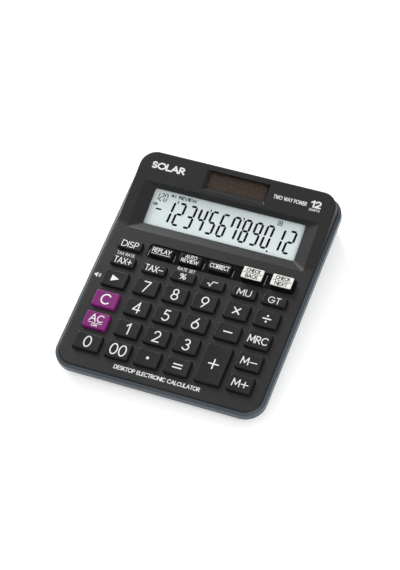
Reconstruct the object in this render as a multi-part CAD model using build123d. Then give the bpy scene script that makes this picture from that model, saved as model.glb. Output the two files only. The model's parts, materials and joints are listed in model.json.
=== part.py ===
"""Twelve-digit desktop calculator, modelled as the separate pieces it comes apart into.

Three frames are used, all in millimetres:
  object frame   +Z up, origin under the middle of the case on the surface it stands on
  panel frame    x across, y from the front rim backwards, z out of the sloping key panel
  display frame  x across, v up the tilted display section from the bend, z out of it
Shapes are built in the frame that suits them and moved to the object frame once.
"""
import os
from math import asin, cos, degrees, radians, sin, tan

from build123d import *

# ---- Case: driving dimensions ----------------------------------------------------------
WIDTH = 126.5            # overall width of the rim
LENGTH = 148.2           # rim length along the key panel
HEIGHT = 28.6            # table to the rear ridge, before its edge is rounded
CORNER_R = 12.0          # rim corner radius in plan
RIM_FACE = 3.75          # height of the rim's upright face
RIM_LIFT = 8.3           # table to the rim's top line at the front
SHOULDER_IN = 1.81       # width of the sloping rim shoulder
SHOULDER_UP = 0.83       # rise of the sloping rim shoulder
SEAM_GAP = 0.14          # gap between the rim and the top cover
COVER_UP = 1.23          # key panel above the rim's top line
COVER_FOOT = -1.2        # lower edge of the top cover, inside the rim
WALL = 2.0               # top cover thickness
COVER_DRAFT = 3.0        # draft of the top cover's side walls, degrees
EDGE_R = 0.9             # rounding along the top cover's edge
BEND_Y = 98.4            # where the display section bends up
BEND_R = 14.0            # radius of that bend
DISPLAY_TILT = 9.9       # display section against the key panel, degrees
RIDGE_Y = 145.4          # rear top ridge
BELLY_IN = 4.0           # belly inset from the rim
FLOOR_Z = 1.2            # underside of the belly above the table
FLOOR_T = 1.8            # floor thickness
BELLY_WALL = 1.8

# ---- Keys ------------------------------------------------------------------------------
KEY_W, KEY_D = 13.9, 10.2        # top face of a standard key
LOW_KEY_D = 6.0                  # top face depth in the two rear rows
KEY_R = 1.2                      # corner radius of the top face
KEY_RISE = 1.9                   # top face above the key panel
CHECK_RISE = 3.4                 # the two taller check keys
KEY_FLARE = 0.35                 # the skirt is this much wider than the top, each side
KEY_ROUND = 0.65                 # rounding of the top edge
KEY_GAP = 0.25                   # skirt to hole
KEY_DISH = 0.2                   # depth of the hollow in the top face
KEY_SKIN = 1.3                   # cap thickness under the top face
KEY_TRAVEL = 1.2                 # full stroke
FLANGE_OUT = 0.6                 # flange that keeps the key in its hole
FLANGE_TOP, FLANGE_LOW = -0.9, -1.7
COLUMNS = (-46.7, -27.2, -9.3, 8.7, 28.1, 46.2)
ROWS = (17.55, 31.8, 46.1, 60.35, 72.75, 84.2)
WIDE_ZERO_W = 15.5               # the zero key reaches further right
LEFT_W = 14.2                    # the left column is slightly wider
TALL_PLUS = (27.6, 24.67, 15.0, 24.4)   # x, y, width, depth of the tall plus key

# ---- Glossy band round the rear row of keys ----------------------------------------------
BAND_X = (-36.0, 54.7)
BAND_Y = (79.5, 89.5)
BAND_R = 2.4
BAND_SINK = 0.9                  # band surface below the key panel
BAND_KEY_Y, BAND_KEY_D, BAND_KEY_W = 84.55, 6.0, 13.5
CHECK_KEY_Y, CHECK_KEY_D, CHECK_KEY_W = 84.9, 7.8, 12.75
CHECK_KEY_X = (28.9, 46.6)
RIB_X = (-35.1, -19.05, -0.9, 17.0, 36.4)
RIB_W, RIB_UP = 0.5, 0.5
RIB_FRONT, RIB_BACK, LONG_RIB_BACK = 80.4, 85.4, 88.2

# ---- Display and solar openings, in the display frame ----------------------------------
RECESS_X = 54.5                  # half width of the recess at the surface
RECESS_FRONT_Y = 95.95           # front edge of the recess, on the key panel
RECESS_REAR_V = 28.9
WINDOW_X = 46.8                  # half width of the window
WINDOW_V = (3.4, 26.4)
WINDOW_R = 1.2
RECESS_DEEP = 2.6
LIP = 0.8                        # thickness of the ledge over the display window
LENS_T = 1.0
LENS_MARGIN = 1.8
GLASS_T = 0.55
REFLECTOR_T = 0.2
SOLAR_X = 18.0
SOLAR_V = (34.0, 44.15)
SOLAR_OUT = (1.75, 2.8)          # slope width at the sides and at the front
SOLAR_DEEP = 2.0
SOLAR_LENS_T, SOLAR_CELL_T = 0.8, 1.1
FIT_GAP = 0.05                   # slip left round a fitted window, cell or screw

# ---- Inside stack, in the panel frame ----------------------------------------------------
MAT_TOP, PCB_TOP, PCB_LOW = -1.85, -4.4, -5.4
MAT_WEB_TOP = FLANGE_LOW - KEY_TRAVEL - 0.9      # clear of a key's flange at full stroke
DOME_R, DOME_TOP_R = 3.0, 2.0
PILL_R, PILL_TOP, PILL_T = 1.2, -3.1, 0.3
PCB_X, PCB_Y = 55.5, (11.4, 93.7)
MAT_Y = (11.6, 89.6)
PCB_SCREWS = ((-36.9, 24.7), (-0.35, 24.7), (37.15, 38.95), (-36.9, 53.2), (-0.35, 53.2),
              (37.15, 67.0), (-27.0, 91.7), (28.0, 91.7))
CASE_SCREWS = ((-47.0, 8.6), (47.0, 8.6), (-50.0, 91.9), (50.0, 91.9), (-50.0, 137.0), (50.0, 137.0))
PCB_BOSS_R, PCB_SHANK_R = 1.7, 0.7
CASE_BOSS_R, CASE_SHANK_R = 2.3, 1.2
POST_TOP = -4.6                  # where the case bosses meet the posts of the bottom cover
POST_R, HEAD_BORE_R, HEAD_R, HEAD_T = 3.7, 2.4, 2.1, 1.3
SEAT = POST_TOP - 1.3            # screw head seat
SHANK_TOP = -1.6

# ---- Bottom of the case, in the object frame ---------------------------------------------
FOOT_R, FOOT_SET = 4.0, 0.7
FEET = ((-46.0, -54.0), (46.0, -54.0), (-46.0, 51.0), (46.0, 51.0))
CELL_R, CELL_H = 5.8, 5.4
BATTERY = (26.0, 44.0)           # middle of the battery compartment
LID = (27.0, 16.0, 1.6)
LID_R = 3.0
CELL_OFFSET, LID_SCREW_OFFSET = -4.2, 9.5
BUZZER = (-26.0, 44.0)
BUZZER_R, CERAMIC_R = 10.0, 7.0
DISC_T = 0.25
WIRE_R, WIRE_BEND = 0.45, 5.0


# ---- Frames ------------------------------------------------------------------------------
ridge_up = COVER_UP + (RIDGE_Y - BEND_Y) * tan(radians(DISPLAY_TILT))
# The panel slope brings the rear ridge to the overall height.
slope = degrees(asin((HEIGHT - RIM_LIFT - ridge_up) / RIDGE_Y))
total_depth = LENGTH * cos(radians(slope)) + RIM_FACE * sin(radians(slope))
PANEL = Location((0, -total_depth / 2, RIM_LIFT), (slope, 0, 0))
DISPLAY_IN_PANEL = Location((0, BEND_Y, COVER_UP), (DISPLAY_TILT, 0, 0))
DISPLAY = PANEL * DISPLAY_IN_PANEL
PANEL_UNDER = COVER_UP - WALL


def slab(outline, low, high, taper=0.0):
    """Extrude a sketch that lies at height zero between two heights."""
    return extrude(Pos(0, 0, low) * outline, high - low, taper=taper)


def plate(x, y, low, high, radius):
    """Rounded plate between (x0, x1) and (y0, y1)."""
    outline = RectangleRounded(x[1] - x[0], y[1] - y[0], radius)
    return slab(Pos((x[0] + x[1]) / 2, (y[0] + y[1]) / 2) * outline, low, high)


def block(x, y, z):
    size = (x[1] - x[0], y[1] - y[0], z[1] - z[0])
    return Pos((x[0] + x[1]) / 2, (y[0] + y[1]) / 2, (z[0] + z[1]) / 2) * Box(*size)


def rod(x, y, low, high, radius):
    return Pos(x, y, (low + high) / 2) * Cylinder(radius, high - low)


def case_plan(inset):
    """Plan outline of the case, drawn in by inset from the rim."""
    outline = RectangleRounded(WIDTH - 2 * inset, LENGTH - 2 * inset, CORNER_R - inset)
    return Pos(0, LENGTH / 2) * outline


# ---- Keys ------------------------------------------------------------------------------
def key_table():
    """Name, centre, top size and rise of every key, front row first."""
    names = (("key_0", "key_00", "key_point", "key_equals", None, "key_memory_plus"),
             ("key_all_clear", "key_1", "key_2", "key_3", None, "key_memory_minus"),
             ("key_clear", "key_4", "key_5", "key_6", "key_minus", "key_memory_recall"),
             ("key_delete", "key_7", "key_8", "key_9", "key_multiply", "key_divide"),
             ("key_tax_plus", "key_tax_minus", "key_percent", "key_root", "key_markup", "key_grand_total"),
             ("key_display", "key_replay", "key_auto", "key_correct", "key_check_back", "key_check_next"))
    keys = [("key_plus", *TALL_PLUS, KEY_RISE)]
    for row, row_names in enumerate(names):
        depth = LOW_KEY_D if row >= 4 else KEY_D
        for column, name in enumerate(row_names):
            x, y, width, rise = COLUMNS[column], ROWS[row], KEY_W, KEY_RISE
            if column == 0:
                width = LEFT_W
            if name == "key_0":
                x, width = x + (WIDE_ZERO_W - LEFT_W) / 2, WIDE_ZERO_W
            if row == 5 and column in (1, 2, 3):
                y, width, depth = BAND_KEY_Y, BAND_KEY_W, BAND_KEY_D
            if row == 5 and column in (4, 5):
                x, y, width, depth = CHECK_KEY_X[column - 4], CHECK_KEY_Y, CHECK_KEY_W, CHECK_KEY_D
                rise = CHECK_RISE
            if name:
                keys.append((name, x, y, width, depth, rise))
    return keys


def key_flare(rise):
    """The tall check keys are almost straight-sided; the others flare."""
    return 0.1 if rise == CHECK_RISE else KEY_FLARE


def key_hole(x, y, width, depth, rise, clearance):
    flare = key_flare(rise) + clearance
    outline = RectangleRounded(width + 2 * flare, depth + 2 * flare, KEY_R + flare)
    return slab(Pos(x, y) * outline, PANEL_UNDER - 1, COVER_UP + 1)


def key_cap(x, y, width, depth, rise):
    """Hollow cap with a dished top, a flange under the panel and a plunger."""
    flare = key_flare(rise)
    top = COVER_UP + rise
    skirt_w, skirt_d = width + 2 * flare, depth + 2 * flare
    corner = KEY_R + flare
    skirt_top = COVER_UP
    skirt = slab(RectangleRounded(skirt_w, skirt_d, corner), FLANGE_LOW, skirt_top)
    head = slab(RectangleRounded(skirt_w, skirt_d, corner), skirt_top, top, degrees(asin(flare / rise)))
    dish_r = (width ** 2 / 4 + KEY_DISH ** 2) / (2 * KEY_DISH)
    dish = Pos(0, 0, top - KEY_DISH + dish_r) * Rot(90, 0, 0) * Cylinder(dish_r, depth + 2)
    cap = skirt + head - dish
    cap = fillet(cap.faces().sort_by(Axis.Z)[-1].edges(), KEY_ROUND)
    flange_w, flange_d = skirt_w + 2 * FLANGE_OUT, skirt_d + 2 * FLANGE_OUT
    cap += slab(RectangleRounded(flange_w, flange_d, corner + FLANGE_OUT), FLANGE_LOW, FLANGE_TOP)
    cap -= slab(RectangleRounded(width - 2, depth - 1.8, 0.8), FLANGE_LOW - 1, top - KEY_SKIN)
    cap += rod(0, 0, MAT_TOP + 0.1, top - KEY_SKIN, 1.6)
    return PANEL * Pos(x, y, 0) * cap


# ---- Case ------------------------------------------------------------------------------
def cover_body(inset, low, drop):
    """Closed wedge: the tapered plan cut off by the key panel and the display section."""
    tall = slab(case_plan(inset), low, low + 30, COVER_DRAFT)
    tilt = radians(DISPLAY_TILT)
    bend_y = BEND_Y + drop * tan(tilt / 2)
    bend_z = COVER_UP - drop
    far_y = LENGTH + 10
    far_z = bend_z + (far_y - bend_y) * tan(tilt)
    corners = ((-10, low), (far_y, low), (far_y, far_z), (bend_y, bend_z), (-10, bend_z))
    profile = Plane.YZ * make_face(Polyline(*corners, close=True))
    bend = profile.vertices().sort_by_distance((0, bend_y, bend_z))[0]
    profile = fillet(bend, BEND_R + drop)
    return tall & extrude(profile, WIDTH, both=True)


def round_top_edge(body, radius):
    """Round the outline of the faces that look up, but not the bend between them."""
    ups = [face for face in body.faces() if face.normal_at().Z > 0.9]
    edges = [edge for face in ups for edge in face.edges()]
    outline = [edge for edge in edges if sum(edge.is_same(other) for other in edges) == 1]
    return fillet(outline, radius)


def display_plate(x, v, deep_top, deep_low, radius):
    """Rounded plate in the display frame; depths are measured down from its surface."""
    return plate(x, v, -deep_low, -deep_top, radius)


def frustum(x_top, v_top, deep_top, x_low, v_low, deep_low, radius_top, radius_low):
    sections = []
    for x, v, deep, radius in ((x_top, v_top, deep_top, radius_top), (x_low, v_low, deep_low, radius_low)):
        outline = RectangleRounded(2 * x, v[1] - v[0], radius)
        sections.append(Pos(0, (v[0] + v[1]) / 2, -deep) * outline)
    return loft(sections, ruled=True)


def recess_pocket():
    """Four sloping facets from the cover's surface down to the display window."""
    lift = 0.6
    tilt = radians(DISPLAY_TILT)
    front_v = (RECESS_FRONT_Y - BEND_Y) * cos(tilt)
    front_deep = (RECESS_FRONT_Y - BEND_Y) * sin(tilt)
    front_run = (WINDOW_V[0] - front_v) / (RECESS_DEEP - front_deep)
    side_run = (RECESS_X - WINDOW_X) / RECESS_DEEP
    rear_run = (RECESS_REAR_V - WINDOW_V[1]) / RECESS_DEEP
    rise = RECESS_DEEP + lift
    v_top = (WINDOW_V[0] - front_run * rise, WINDOW_V[1] + rear_run * rise)
    x_top = WINDOW_X + side_run * rise
    return frustum(x_top, v_top, -lift, WINDOW_X, WINDOW_V, RECESS_DEEP, 2.2, WINDOW_R)


def solar_pocket():
    """Slopes at the sides and the front; the rear wall is nearly upright."""
    lift = 0.6
    grow = (SOLAR_DEEP + lift) / SOLAR_DEEP
    v_top = (SOLAR_V[0] - SOLAR_OUT[1] * grow, SOLAR_V[1] + 0.1)
    x_top = SOLAR_X + SOLAR_OUT[0] * grow
    return frustum(x_top, v_top, -lift, SOLAR_X, SOLAR_V, SOLAR_DEEP, 0.6, 0.4)


def grown(span, amount):
    return (span[0] - amount, span[1] + amount)


lens_deep = RECESS_DEEP + LIP
lens_low = lens_deep + LENS_T
lens_x = (-WINDOW_X - LENS_MARGIN, WINDOW_X + LENS_MARGIN)
lens_v = grown(WINDOW_V, LENS_MARGIN)
solar_lens_deep = SOLAR_DEEP + 0.6
solar_x = (-SOLAR_X - 1.0, SOLAR_X + 1.0)
solar_v = grown(SOLAR_V, 0.9)
HOLDER_SCREWS = ((-54.0, 6.0), (54.0, 6.0), (-54.0, 24.0), (54.0, 24.0))
HOLDER_DEEP = 5.8                # top of the holder's plate
HOLDER_T = 1.2


def build_top_cover():
    inset = SHOULDER_IN + SEAM_GAP
    cover = round_top_edge(cover_body(inset, COVER_FOOT, 0), EDGE_R)
    cover -= cover_body(inset + WALL, COVER_FOOT, WALL)
    housing = frustum(WINDOW_X + 9.4, (-3.4, 30.4), 1.2, WINDOW_X + 4.4, (-0.4, 29.8), lens_low, 3, 3)
    solar_rim_x = (-SOLAR_X - 2.6, SOLAR_X + 2.6)
    housing += display_plate(solar_rim_x, grown(SOLAR_V, 2.0), 1.0, solar_lens_deep + SOLAR_LENS_T, 1)
    for x, v in HOLDER_SCREWS:
        housing += rod(x, v, -HOLDER_DEEP, -1.9, 2.0)
    housing -= display_plate(lens_x, lens_v, lens_deep, lens_low + 1, 1.5)
    housing -= display_plate(solar_x, solar_v, solar_lens_deep, solar_lens_deep + 2, 0.8)
    for x, v in HOLDER_SCREWS:
        housing -= rod(x, v, -HOLDER_DEEP - 1, -3.0, PCB_SHANK_R)
    cover += DISPLAY_IN_PANEL * housing
    window = display_plate((-WINDOW_X, WINDOW_X), WINDOW_V, RECESS_DEEP - 0.1, lens_deep + 0.1, WINDOW_R)
    solar_window = display_plate((-SOLAR_X, SOLAR_X), SOLAR_V, SOLAR_DEEP - 0.1, solar_lens_deep + 0.1, 0.4)
    for pocket in (recess_pocket(), window, solar_pocket(), solar_window):
        cover -= DISPLAY_IN_PANEL * pocket
    for name, x, y, width, depth, rise in key_table():
        if not (BAND_X[0] < x and BAND_Y[0] < y < BAND_Y[1]):
            cover -= key_hole(x, y, width, depth, rise, KEY_GAP)
    cover -= plate(BAND_X, BAND_Y, PANEL_UNDER - 1, COVER_UP + 1, BAND_R)
    for x, y in PCB_SCREWS:
        cover += rod(x, y, PCB_TOP, PANEL_UNDER, PCB_BOSS_R) - rod(x, y, PCB_TOP, PCB_TOP + 2.6, PCB_SHANK_R)
    for x, y in CASE_SCREWS:
        boss = rod(x, y, POST_TOP, COVER_UP + 12, CASE_BOSS_R) & cover_body(inset + 1, POST_TOP, WALL / 2)
        cover += boss
        cover -= rod(x, y, POST_TOP - 1, SHANK_TOP, CASE_SHANK_R)
    return PANEL * cover


def build_key_band():
    """Glossy plate that fills the opening behind the rear keys, with low ribs between them."""
    band = plate(BAND_X, BAND_Y, PANEL_UNDER, COVER_UP - BAND_SINK, BAND_R)
    for x in RIB_X:
        back = LONG_RIB_BACK if x == RIB_X[-1] else RIB_BACK
        rib_top = COVER_UP - BAND_SINK + RIB_UP
        band += block((x - RIB_W / 2, x + RIB_W / 2), (RIB_FRONT, back), (PANEL_UNDER, rib_top))
    for name, x, y, width, depth, rise in key_table():
        if BAND_X[0] < x and BAND_Y[0] < y < BAND_Y[1]:
            band -= key_hole(x, y, width, depth, rise, KEY_GAP)
    return PANEL * band


def level_slab(low, high):
    """Everything between two heights above the table."""
    return block((-100, 100), (-100, 100), (low, high))


def build_bottom_cover():
    rim = slab(case_plan(0), -RIM_FACE, 0)
    shoulder = loft([case_plan(0), Pos(0, 0, SHOULDER_UP) * case_plan(SHOULDER_IN)], ruled=True)
    belly = slab(case_plan(BELLY_IN), -30, -RIM_FACE)
    outer = PANEL * (rim + shoulder) + (PANEL * belly) & level_slab(FLOOR_Z, 40)
    bottom_edges = outer.faces().sort_by(Axis.Z)[0].edges()
    outer = fillet(bottom_edges, 1.2)
    upper = slab(case_plan(SHOULDER_IN + 0.02), COVER_FOOT, 5)
    middle = slab(case_plan(SHOULDER_IN + SEAM_GAP + WALL - 0.3), COVER_FOOT - 1, 0)
    lower = PANEL * slab(case_plan(BELLY_IN + BELLY_WALL), -30, 0) & level_slab(FLOOR_Z + FLOOR_T, 40)
    cover = outer - PANEL * upper - PANEL * middle - lower
    for x, y in CASE_SCREWS:
        post = PANEL * rod(x, y, -30, POST_TOP, POST_R) & level_slab(FLOOR_Z + 0.2, 40)
        cover += post & (PANEL * slab(case_plan(BELLY_IN + 0.3), -30, 0))
    for x, y in CASE_SCREWS:
        cover -= PANEL * rod(x, y, -30, 0, CASE_SHANK_R + FIT_GAP)
        cover -= PANEL * rod(x, y, -30, SEAT, HEAD_BORE_R)
    for x, y in FEET:
        cover -= rod(x, y, FLOOR_Z - 1, FLOOR_Z + FOOT_SET, FOOT_R)
    cover += battery_block()
    cover -= battery_pockets()
    for turn in range(6):
        cover -= Pos(*BUZZER) * Rot(0, 0, 60 * turn) * rod(4.5, 0, 0, 5, 0.8)
    cover += Pos(*BUZZER) * (rod(0, 0, FLOOR_Z + 1, FLOOR_Z + FLOOR_T + 1, BUZZER_R + 1.2)
                             - rod(0, 0, 0, FLOOR_Z + FLOOR_T + 1.5, BUZZER_R - 1.0)
                             - rod(0, 0, FLOOR_Z + FLOOR_T + 0.5, FLOOR_Z + FLOOR_T + 2, BUZZER_R))
    return cover


# ---- Battery compartment, in the object frame --------------------------------------------
lid_top = FLOOR_Z + LID[2]
cell_low = lid_top + 0.1
cell_top = cell_low + CELL_H
contact_top = cell_top + 0.3
block_top = contact_top + 1.2
cell_x = BATTERY[0] + CELL_OFFSET
lid_screw_x = BATTERY[0] + LID_SCREW_OFFSET


def battery_block():
    x = grown((BATTERY[0] - LID[0] / 2, BATTERY[0] + LID[0] / 2), 1.6)
    y = grown((BATTERY[1] - LID[1] / 2, BATTERY[1] + LID[1] / 2), 1.6)
    return plate(x, y, FLOOR_Z + 0.3, block_top, LID_R)


def battery_pockets():
    """Recess for the lid, pocket for the cell, slots for both contacts, pilot for the screw."""
    gap = 0.15
    lid = Pos(*BATTERY) * RectangleRounded(LID[0] + 2 * gap, LID[1] + 2 * gap, LID_R)
    pockets = slab(lid, FLOOR_Z - 1, lid_top)
    pockets += rod(cell_x, BATTERY[1], lid_top - 0.5, contact_top, CELL_R + 0.25)
    pockets += block((cell_x - CELL_R - 0.8, cell_x - CELL_R + 1), grown((BATTERY[1], BATTERY[1]), 2.2),
                     (lid_top - 0.5, block_top + 1))
    pockets += block(grown((cell_x, cell_x), 1.2), grown((BATTERY[1], BATTERY[1]), 0.4),
                     (cell_top, block_top + 1))
    pockets += rod(lid_screw_x, BATTERY[1], lid_top - 1, lid_top + 5, PCB_SHANK_R)
    return pockets


def build_battery_lid():
    lid = slab(Pos(*BATTERY) * RectangleRounded(LID[0], LID[1], LID_R), FLOOR_Z, lid_top)
    lid -= rod(lid_screw_x, BATTERY[1], FLOOR_Z - 1, lid_top + 1, PCB_SHANK_R + 0.1)
    lid -= rod(lid_screw_x, BATTERY[1], FLOOR_Z - 1, FLOOR_Z + 0.9, 1.6)
    for step in range(3):
        x = cell_x - 3 + 3 * step
        lid -= block((x - 0.4, x + 0.4), grown((BATTERY[1], BATTERY[1]), 4), (FLOOR_Z - 1, FLOOR_Z + 0.3))
    return lid


def build_battery_lid_screw():
    head = rod(lid_screw_x, BATTERY[1], FLOOR_Z + 0.1, FLOOR_Z + 0.9, 1.45)
    slot = block(grown((lid_screw_x, lid_screw_x), 1.0), grown((BATTERY[1], BATTERY[1]), 0.2),
                 (0, FLOOR_Z + 0.5))
    return head + rod(lid_screw_x, BATTERY[1], FLOOR_Z + 0.9, lid_top + 4, PCB_SHANK_R) - slot


def build_button_cell():
    cell = rod(cell_x, BATTERY[1], cell_low + 0.6, cell_top, CELL_R)
    cell = fillet(cell.faces().sort_by(Axis.Z)[-1].edges(), 0.3)
    return cell + rod(cell_x, BATTERY[1], cell_low, cell_low + 0.6, CELL_R - 0.9)


def build_battery_contacts():
    """A plate over the cell and a strip beside it, each with a tab through the block."""
    y = grown((BATTERY[1], BATTERY[1]), 0.15)
    top = block(grown((cell_x, cell_x), 3.5), grown((BATTERY[1], BATTERY[1]), 2.0), (cell_top, contact_top))
    top += block(grown((cell_x, cell_x), 1.0), y, (cell_top, block_top + 1.6))
    strip_x = (cell_x - CELL_R - 0.35, cell_x - CELL_R - FIT_GAP)
    side = block(strip_x, grown((BATTERY[1], BATTERY[1]), 1.8), (cell_low + 1, block_top + 1.6))
    return Compound([top, side])


# ---- Display parts -------------------------------------------------------------------------
glass_top = lens_low + FIT_GAP
glass_low = glass_top + 2 * GLASS_T
glass_x = (-WINDOW_X - 1.5, WINDOW_X + 1.5)
glass_v = grown(WINDOW_V, 1.5)
LEDGE = 2.1                      # bare front edge of the front glass, where the flex is bonded
FLEX_X = 22.0
FLEX_T = 0.15


def build_lcd_panel():
    front = display_plate(glass_x, glass_v, glass_top, glass_top + GLASS_T, 0.3)
    rear_v = (glass_v[0] + LEDGE, glass_v[1])
    rear = display_plate(glass_x, rear_v, glass_top + GLASS_T, glass_low, 0.3)
    return DISPLAY * (front + rear)


def build_lcd_reflector():
    rear_v = (glass_v[0] + LEDGE + 0.4, glass_v[1] - 0.4)
    return DISPLAY * display_plate(grown(glass_x, -0.6), rear_v, glass_low, glass_low + REFLECTOR_T, 0.3)


def build_lcd_holder():
    """Tray that presses the glass against the cover, with four screwed ears."""
    holder = display_plate(grown(glass_x, 1.4), grown(glass_v, 1.4), lens_low, HOLDER_DEEP + HOLDER_T, 1.5)
    holder -= display_plate(grown(glass_x, 0.2), grown(glass_v, 0.2), lens_low - 1, HOLDER_DEEP, 0.4)
    holder -= block((-FLEX_X - 2, FLEX_X + 2), (-5, glass_v[0] + 1), (-HOLDER_DEEP, 0))
    for x, v in HOLDER_SCREWS:
        inner = (WINDOW_X + 2) * (1 if x > 0 else -1)
        ear = block((min(x, inner), max(x, inner)), (v - 2, v + 2), (-HOLDER_DEEP - HOLDER_T, -HOLDER_DEEP))
        holder += ear + rod(x, v, -HOLDER_DEEP - HOLDER_T, -HOLDER_DEEP, 2.0)
        holder -= rod(x, v, -HOLDER_DEEP - 3, 0, PCB_SHANK_R + 0.1)
    holder -= display_plate((-40, 40), (8, 22), HOLDER_DEEP - 0.1, HOLDER_DEEP + 3, 2)
    return DISPLAY * holder


def small_screw(x, y, seat, shank, head_r=1.3):
    """Pan-head screw pointing up: head below the seat, shank above it."""
    head = rod(x, y, seat - 0.9, seat, head_r)
    head -= block(grown((x, x), 0.8), grown((y, y), 0.15), (seat - 2, seat - 0.5))
    return head + rod(x, y, seat, seat + shank, PCB_SHANK_R)


def build_holder_screws():
    seat = -HOLDER_DEEP - HOLDER_T
    return DISPLAY * Compound([small_screw(x, v, seat, 3.4) for x, v in HOLDER_SCREWS])


def build_display_window():
    across, along = grown(lens_x, -FIT_GAP), grown(lens_v, -FIT_GAP)
    return DISPLAY * display_plate(across, along, lens_deep, lens_low, 1.4)


def build_solar_window():
    low = solar_lens_deep + SOLAR_LENS_T
    across, along = grown(solar_x, -FIT_GAP), grown(solar_v, -FIT_GAP)
    return DISPLAY * display_plate(across, along, solar_lens_deep, low, 0.7)


def build_solar_cell():
    top = solar_lens_deep + SOLAR_LENS_T + FIT_GAP
    return DISPLAY * display_plate(solar_x, solar_v, top, top + SOLAR_CELL_T, 0.3)


def build_lcd_flex():
    """Flat cable from the ledge of the glass down to the top of the circuit board."""
    middle = glass_top + GLASS_T + FLEX_T / 2
    tilt = radians(DISPLAY_TILT)

    def in_panel(v, deep):
        return (BEND_Y + v * cos(tilt) + deep * sin(tilt), COVER_UP + v * sin(tilt) - deep * cos(tilt))

    board = PCB_TOP + FLEX_T / 2
    path = Polyline((PCB_Y[1] - 2.5, board), (PCB_Y[1] + 1, board), in_panel(-0.5, middle),
                    in_panel(glass_v[0] + LEDGE - 0.3, middle))
    strip = Plane.YZ * trace(path, FLEX_T)
    return PANEL * extrude(strip, FLEX_X, both=True)


# ---- Key board --------------------------------------------------------------------------
def boss_holes(low, high, radius):
    return [rod(x, y, low, high, radius) for x, y in PCB_SCREWS]


def build_key_mat():
    """Rubber sheet with a hollow dome under every key."""
    mat = plate((-PCB_X, PCB_X), MAT_Y, PCB_TOP, MAT_WEB_TOP, 2)
    domes = []
    hollows = []
    for name, x, y, width, depth, rise in key_table():
        height = MAT_TOP - MAT_WEB_TOP
        domes.append(Pos(x, y, (MAT_TOP + MAT_WEB_TOP) / 2) * Cone(DOME_R, DOME_TOP_R, height))
        hollow = PILL_TOP - PCB_TOP
        hollows.append(Pos(x, y, (PILL_TOP + PCB_TOP) / 2) * Cone(DOME_R - 0.5, DOME_TOP_R - 0.4, hollow))
    mat = mat + domes - hollows
    mat -= boss_holes(PCB_TOP - 1, MAT_TOP, PCB_BOSS_R + 0.3)
    return PANEL * mat


def build_contact_pills():
    pills = [rod(x, y, PILL_TOP - PILL_T, PILL_TOP, PILL_R) for name, x, y, *size in key_table()]
    return PANEL * Compound(pills)


def build_circuit_board():
    board = plate((-PCB_X, PCB_X), PCB_Y, PCB_LOW, PCB_TOP, 2)
    board -= boss_holes(PCB_LOW - 1, PCB_TOP + 1, PCB_SHANK_R + 0.1)
    for x, y in CASE_SCREWS[:4]:
        board -= rod(x, y, PCB_LOW - 1, PCB_TOP + 1, POST_R + 0.4)
    return PANEL * board


def build_pcb_screws():
    return PANEL * Compound([small_screw(x, y, PCB_LOW, 3.4) for x, y in PCB_SCREWS])


def build_chip():
    """Black potting over the bare chip, under the board."""
    dome = Cone(6.5, 4.0, 1.1, align=(Align.CENTER, Align.CENTER, Align.MIN))
    blob = Pos(-18, 61, PCB_LOW) * Rot(180, 0, 0) * dome
    return PANEL * blob


def build_components():
    """Capacitor can, two ceramic capacitors, two resistors and an oscillator, under the board."""
    parts = [Pos(20, 84, PCB_LOW - 2.1) * Rot(0, 90, 0) * Cylinder(2.0, 5.5)]
    chips = ((4, 62, 3.2, 1.6, 1.0), (4, 68, 3.2, 1.6, 1.0), (16, 62, 2.0, 1.2, 0.6),
             (16, 68, 2.0, 1.2, 0.6), (-34, 62, 6.0, 2.4, 2.0))
    for x, y, length, width, height in chips:
        parts.append(Pos(x, y, PCB_LOW - height / 2) * Box(length, width, height))
    return PANEL * Compound(parts)


# ---- Case hardware ------------------------------------------------------------------------
def build_case_screws():
    screws = []
    for x, y in CASE_SCREWS:
        head = rod(x, y, SEAT - HEAD_T, SEAT, HEAD_R)
        cross = block(grown((x, x), 1.1), grown((y, y), 0.25), (SEAT - 3, SEAT - 0.5))
        cross += block(grown((x, x), 0.25), grown((y, y), 1.1), (SEAT - 3, SEAT - 0.5))
        screws.append(head - cross + rod(x, y, SEAT, SHANK_TOP, CASE_SHANK_R))
    return PANEL * Compound(screws)


def build_feet():
    feet = []
    for x, y in FEET:
        foot = rod(x, y, 0, FLOOR_Z + FOOT_SET, FOOT_R)
        feet.append(fillet(foot.faces().sort_by(Axis.Z)[0].edges(), 0.4))
    return Compound(feet)


def build_buzzer():
    """Brass disc with a ceramic disc on it, resting on its ring."""
    seat = FLOOR_Z + FLOOR_T + 0.5
    disc = rod(*BUZZER, seat, seat + DISC_T, BUZZER_R - 0.1)
    ceramic = rod(*BUZZER, seat + DISC_T, seat + 2 * DISC_T, CERAMIC_R)
    return Compound([disc, ceramic])


def board_point(x, drop=0.0):
    """Solder point under the rear edge of the circuit board, or a point below it."""
    return (PANEL * Pos(x, PCB_Y[1] - 3.2, PCB_LOW - drop)).position


def solar_point(x, drop=0.0):
    """Solder point on the back of the solar cell, or a point below it."""
    back = -(solar_lens_deep + SOLAR_LENS_T + FIT_GAP + SOLAR_CELL_T)
    return (DISPLAY * Pos(x, SOLAR_V[0] + 4, back - drop)).position


def wire(*points):
    """Round wire along straight runs and tangent arcs, each arc as large as its runs allow."""
    points = [Vector(*point) for point in points]
    runs = [after - before for before, after in zip(points, points[1:])]
    radii = []
    for before, after in zip(runs, runs[1:]):
        half_turn = radians(before.get_angle(after)) / 2
        radii.append(min(WIRE_BEND, 0.45 * min(before.length, after.length) / tan(half_turn)))
    path = FilletPolyline(*points, radius=radii)
    return sweep(Plane(origin=path @ 0, z_dir=path % 0) * Circle(WIRE_R), path=path)


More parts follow.
